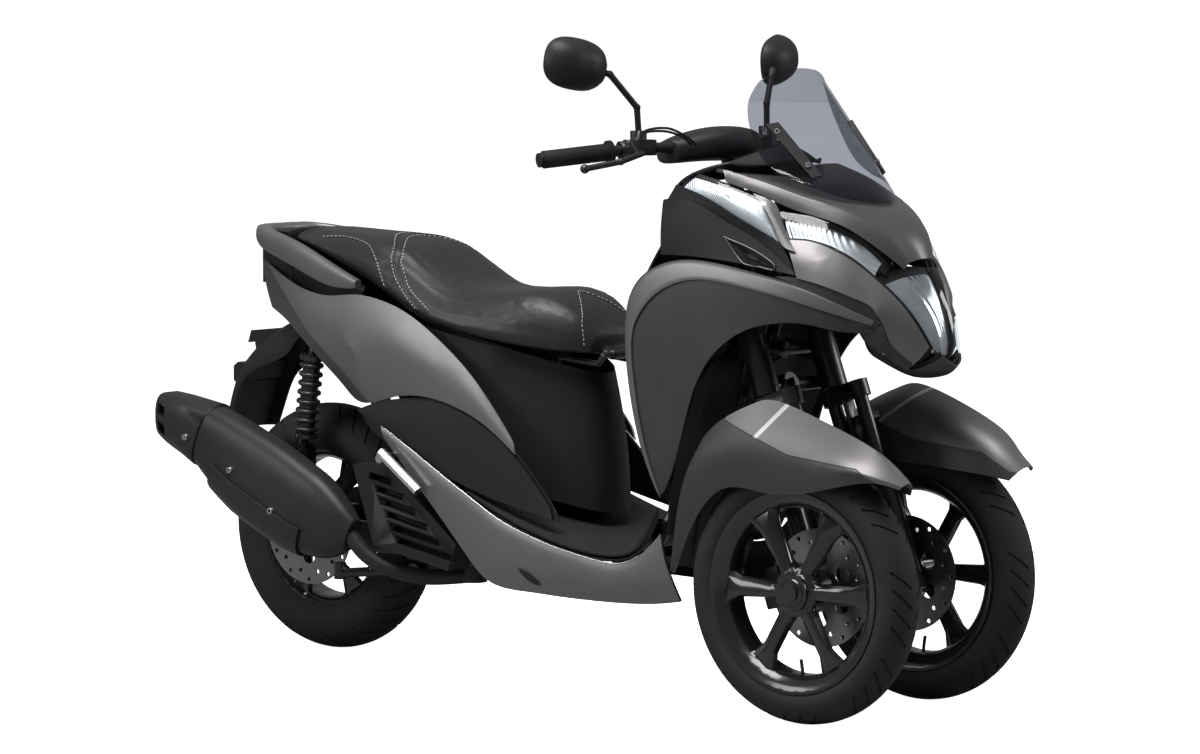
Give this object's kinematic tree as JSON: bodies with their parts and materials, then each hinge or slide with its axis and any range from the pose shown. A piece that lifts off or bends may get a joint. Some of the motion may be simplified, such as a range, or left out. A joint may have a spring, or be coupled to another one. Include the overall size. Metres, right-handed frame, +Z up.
{
  "type": "leaning three-wheel scooter",
  "caption": "Reverse trike scooter with steered front wheels under a faired cowl and windscreen, stepped seat over a storage box, side muffler and folding stands.",
  "frame": {"origin": "on the floor under the middle of the outline", "axes": "+X forward, +Y to the rider's left, +Z up"},
  "size_m": [1.8962, 0.776, 1.2779],
  "materials": {
    "frame_black": "satin black paint",
    "gunmetal": "matte warm grey metallic paint",
    "dark_grey": "matte dark grey",
    "black_plastic": "grained black plastic",
    "clear_lens": "clear lens",
    "smoke_screen": "lightly smoked acrylic",
    "red_lens": "red lens",
    "engine_grey": "painted casting",
    "muffler_grey": "heat proof dark grey",
    "alloy": "satin alloy",
    "grip_rubber": "ribbed rubber",
    "tyre": "road tyre",
    "wheel_black": "gloss black paint",
    "disc_steel": "brushed steel",
    "seat_vinyl": "black vinyl"
  },
  "bodies": {
    "chassis": {"main_frame": "frame_black", "front_linkage": "frame_black", "rear_arm": "frame_black", "rear_shocks": "frame_black", "front_cowl": "gunmetal", "cowl_flanks": "gunmetal", "leg_shields": "gunmetal", "side_skirts": "gunmetal", "tail_panels": "gunmetal", "grab_rail": "gunmetal", "chin_cover": "dark_grey", "dash_panel": "black_plastic", "intake_panels": "black_plastic", "arch_liner": "black_plastic", "inner_shield": "black_plastic", "floor_panel": "black_plastic", "storage_box": "black_plastic", "body_cover": "black_plastic", "side_covers": "black_plastic", "rear_fender": "black_plastic", "tail_tray": "black_plastic", "radiator_guard": "black_plastic", "headlight": "clear_lens", "front_signals": "clear_lens", "windscreen": "smoke_screen", "tail_lamp": "red_lens", "engine_unit": "engine_grey", "muffler": "muffler_grey", "muffler_trim": "muffler_grey", "passenger_pegs": "alloy"},
    "steering_bar": {"handlebar": "frame_black", "bar_cover": "black_plastic", "grips": "grip_rubber", "brake_controls": "alloy", "mirrors": "black_plastic"},
    "steer_right": {"fork_right": "frame_black", "fender_right": "dark_grey"},
    "steer_left": {"fork_left": "frame_black", "fender_left": "dark_grey"},
    "wheel_fr": {"tyre_fr": "tyre", "rim_fr": "wheel_black", "disc_fr": "disc_steel"},
    "wheel_fl": {"tyre_fl": "tyre", "rim_fl": "wheel_black", "disc_fl": "disc_steel"},
    "wheel_rear": {"tyre_rear": "tyre", "rim_rear": "wheel_black", "disc_rear": "disc_steel"},
    "seat_lid": {"seat": "seat_vinyl"},
    "stand_centre": {"centre_stand": "frame_black"},
    "stand_side": {"side_stand": "frame_black"}
  },
  "joints": [
    {"name": "bar_steer", "type": "hinge", "parent": "chassis", "child": "steering_bar", "pos_m": [0.365, 0, 1.062], "axis": [-0.342, 0, 0.9397], "range_deg": [-30, 30]},
    {"name": "kingpin_right", "type": "hinge", "parent": "chassis", "child": "steer_right", "pos_m": [0.67872, -0.1085, 0.25], "axis": [-0.342, 0, 0.9397], "range_deg": [-30, 30]},
    {"name": "kingpin_left", "type": "hinge", "parent": "chassis", "child": "steer_left", "pos_m": [0.67872, 0.1085, 0.25], "axis": [-0.342, 0, 0.9397], "range_deg": [-30, 30]},
    {"name": "wheel_fr_spin", "type": "hinge", "parent": "steer_right", "child": "wheel_fr", "pos_m": [0.7, -0.1925, 0.25], "axis": [0, 1, 0], "continuous": true},
    {"name": "wheel_fl_spin", "type": "hinge", "parent": "steer_left", "child": "wheel_fl", "pos_m": [0.7, 0.1925, 0.25], "axis": [0, 1, 0], "continuous": true},
    {"name": "wheel_rear_spin", "type": "hinge", "parent": "chassis", "child": "wheel_rear", "pos_m": [-0.65, 0, 0.256], "axis": [0, 1, 0], "continuous": true},
    {"name": "seat_hinge", "type": "hinge", "parent": "chassis", "child": "seat_lid", "pos_m": [0.114, 0, 0.652], "axis": [0, 1, 0], "range_deg": [0, 75]},
    {"name": "centre_stand_pivot", "type": "hinge", "parent": "chassis", "child": "stand_centre", "pos_m": [-0.358, 0, 0.192], "axis": [0, -1, 0], "range_deg": [0, 90]},
    {"name": "side_stand_pivot", "type": "hinge", "parent": "chassis", "child": "stand_side", "pos_m": [-0.09, 0.172, 0.196], "axis": [0, -0.9063, -0.4226], "range_deg": [0, 90]}
  ],
  "couplings": [
    {"joint": "kingpin_right", "follows": "bar_steer", "ratio": 1},
    {"joint": "kingpin_left", "follows": "bar_steer", "ratio": 1}
  ]
}
